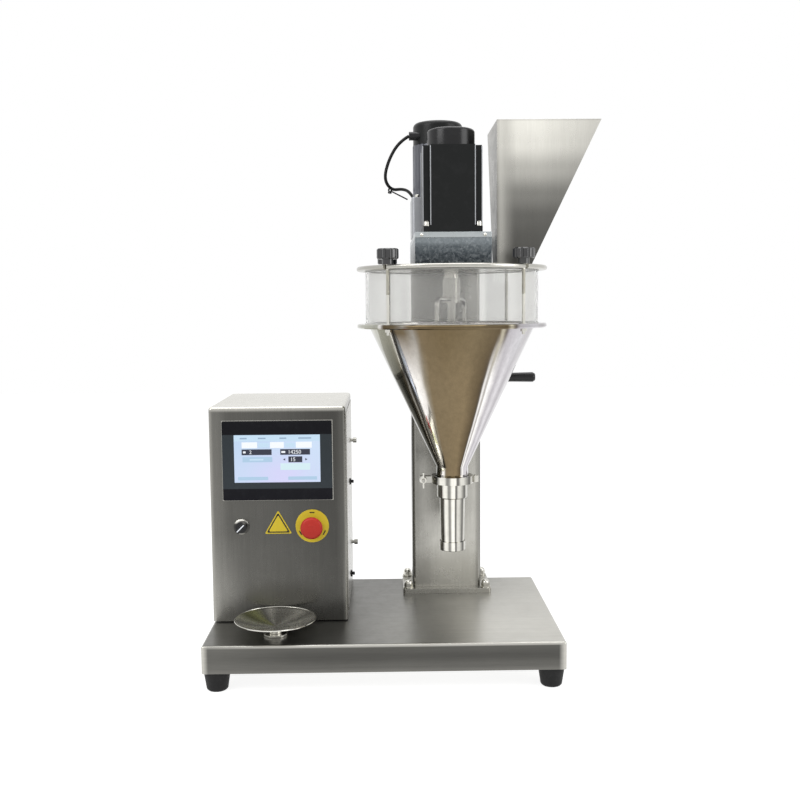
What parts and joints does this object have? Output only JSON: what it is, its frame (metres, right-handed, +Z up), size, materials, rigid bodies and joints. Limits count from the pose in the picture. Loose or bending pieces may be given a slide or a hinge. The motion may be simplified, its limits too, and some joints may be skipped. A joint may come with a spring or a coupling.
{
  "type": "auger powder filler",
  "caption": "Bench machine that doses powder with an auger: cone hopper, clear cylinder and drives on a crank-lifted column, control box with touch panel, and a base on rubber feet.",
  "frame": {"origin": "on the floor under the middle of the base, in the plane of the feet", "axes": "+Z up, +X to the right and +Y to the back as seen by the operator at the front"},
  "size_m": [0.7145, 0.46, 1.018],
  "materials": {
    "brushed_steel": "brushed stainless sheet",
    "satin_steel": "satin stainless",
    "polished_steel": "mirror polished stainless",
    "bright_steel": "bright machined steel",
    "galvanised": "blue-grey zinc coated sheet with a spangle",
    "satin_aluminium": "satin aluminium",
    "grey_aluminium": "pale grey motor casing",
    "bronze": "sintered bronze",
    "black_paint": "satin black paint",
    "black_plastic": "satin black plastic",
    "gloss_black": "gloss black",
    "screen_glass": "lit screen glass",
    "yellow_plastic": "yellow plastic",
    "red_plastic": "red plastic",
    "white_nylon": "natural nylon",
    "white_silicone": "white silicone",
    "clear_acrylic": "clear acrylic",
    "rubber": "black rubber",
    "black_rubber": "black rubber"
  },
  "bodies": {
    "base": {"base_pan": "brushed_steel", "rubber_feet": "rubber", "column_foot_plate": "satin_steel", "column_bolts": "bright_steel", "column_tube": "brushed_steel", "column_guide": "white_nylon", "shaft_bushings": "bronze", "control_box_shell": "brushed_steel", "rear_cover": "brushed_steel", "side_cover": "satin_steel", "touch_panel": "gloss_black", "touch_screen": "screen_glass", "selector_bezel": "black_plastic", "estop_plate": "yellow_plastic", "estop_body": "black_plastic", "power_inlet": "black_plastic", "dish_stub": "bright_steel"},
    "head": {"inner_post": "satin_steel", "lift_rack": "bright_steel", "post_shoe": "white_nylon", "head_box": "galvanised", "motor_plate": "satin_aluminium", "servo_body": "black_paint", "servo_cap": "black_plastic", "stir_gearhead": "satin_aluminium", "stir_motor_body": "grey_aluminium", "stir_fan_cover": "black_paint", "timing_belt": "black_rubber", "quill_bearing": "bright_steel", "bearing_housing": "satin_aluminium", "lid_plate": "satin_steel", "clear_cylinder": "clear_acrylic", "hopper_gaskets": "white_silicone", "hopper_cone": "polished_steel", "tie_rods": "bright_steel", "inlet_chute": "satin_steel", "clamp_ring": "polished_steel", "nozzle_tube": "polished_steel", "outlet_ring": "polished_steel", "motor_cable": "black_rubber", "cable_glands": "black_plastic"},
    "auger": {"servo_shaft": "bright_steel", "auger_screw": "satin_steel"},
    "agitator": {"agitator_quill": "bright_steel", "agitator_frame": "satin_steel", "driven_pulley": "satin_aluminium"},
    "stir_drive": {"stir_shaft": "bright_steel", "drive_pulley": "satin_aluminium"},
    "crank": {"pinion_shaft": "bright_steel", "crank_arm": "satin_steel"},
    "grip": {"crank_grip": "black_plastic"},
    "knob_1": {"star_knob_1": "black_plastic"},
    "knob_2": {"star_knob_2": "black_plastic"},
    "knob_3": {"star_knob_3": "black_plastic"},
    "knob_4": {"star_knob_4": "black_plastic"},
    "clamp_wing": {"wing_nut": "polished_steel"},
    "selector": {"selector_knob": "black_plastic"},
    "stop_plunger": {"estop_stem": "black_plastic"},
    "stop_button": {"estop_head": "red_plastic"},
    "weigh_dish": {"dish": "polished_steel"}
  },
  "joints": [
    {"name": "head_lift", "type": "slide", "parent": "base", "child": "head", "axis": [0, 0, 1], "range_m": [0, 0.15]},
    {"name": "crank_turn", "type": "hinge", "parent": "base", "child": "crank", "pos_m": [0.129, 0.1285, 0.585], "axis": [1, 0, 0], "range_deg": [0, 720]},
    {"name": "grip_spin", "type": "hinge", "parent": "crank", "child": "grip", "pos_m": [0.264, 0.1285, 0.525], "axis": [1, 0, 0], "continuous": true},
    {"name": "auger_spin", "type": "hinge", "parent": "head", "child": "auger", "pos_m": [0.129, -0.07, 0.35], "axis": [0, 0, 1], "continuous": true},
    {"name": "agitator_spin", "type": "hinge", "parent": "head", "child": "agitator", "pos_m": [0.129, -0.07, 0.7], "axis": [0, 0, 1], "continuous": true},
    {"name": "stir_drive_spin", "type": "hinge", "parent": "head", "child": "stir_drive", "pos_m": [0.129, 0.04, 0.78], "axis": [0, 0, 1], "continuous": true},
    {"name": "star_knob_1_spin", "type": "hinge", "parent": "head", "child": "knob_1", "pos_m": [0.24567, 0.04667, 0.757], "axis": [0, 0, 1], "continuous": true},
    {"name": "star_knob_2_spin", "type": "hinge", "parent": "head", "child": "knob_2", "pos_m": [0.01233, 0.04667, 0.757], "axis": [0, 0, 1], "continuous": true},
    {"name": "star_knob_3_spin", "type": "hinge", "parent": "head", "child": "knob_3", "pos_m": [0.01233, -0.18667, 0.757], "axis": [0, 0, 1], "continuous": true},
    {"name": "star_knob_4_spin", "type": "hinge", "parent": "head", "child": "knob_4", "pos_m": [0.24567, -0.18667, 0.757], "axis": [0, 0, 1], "continuous": true},
    {"name": "wing_nut_spin", "type": "hinge", "parent": "head", "child": "clamp_wing", "pos_m": [0.075, -0.083, 0.351], "axis": [0, -1, 0], "continuous": true},
    {"name": "selector_turn", "type": "hinge", "parent": "base", "child": "selector", "pos_m": [-0.263, -0.09, 0.267], "axis": [0, -1, 0], "range_deg": [0, 90]},
    {"name": "estop_push", "type": "slide", "parent": "base", "child": "stop_plunger", "axis": [0, 1, 0], "range_m": [0, 0.004], "stiffness_N_per_m": 900, "springref_m": -0.003},
    {"name": "estop_twist", "type": "hinge", "parent": "stop_plunger", "child": "stop_button", "pos_m": [-0.132, -0.1, 0.267], "axis": [0, 1, 0], "range_deg": [0, 30], "stiffness_Nm_per_rad": 0.05},
    {"name": "dish_lift", "type": "slide", "parent": "base", "child": "weigh_dish", "axis": [0, 0, 1], "range_m": [0, 0.016]}
  ],
  "couplings": [
    {"joint": "crank_turn", "follows": "head_lift", "rad_per_m": 83.333},
    {"joint": "stir_drive_spin", "follows": "agitator_spin", "ratio": 1.25}
  ]
}
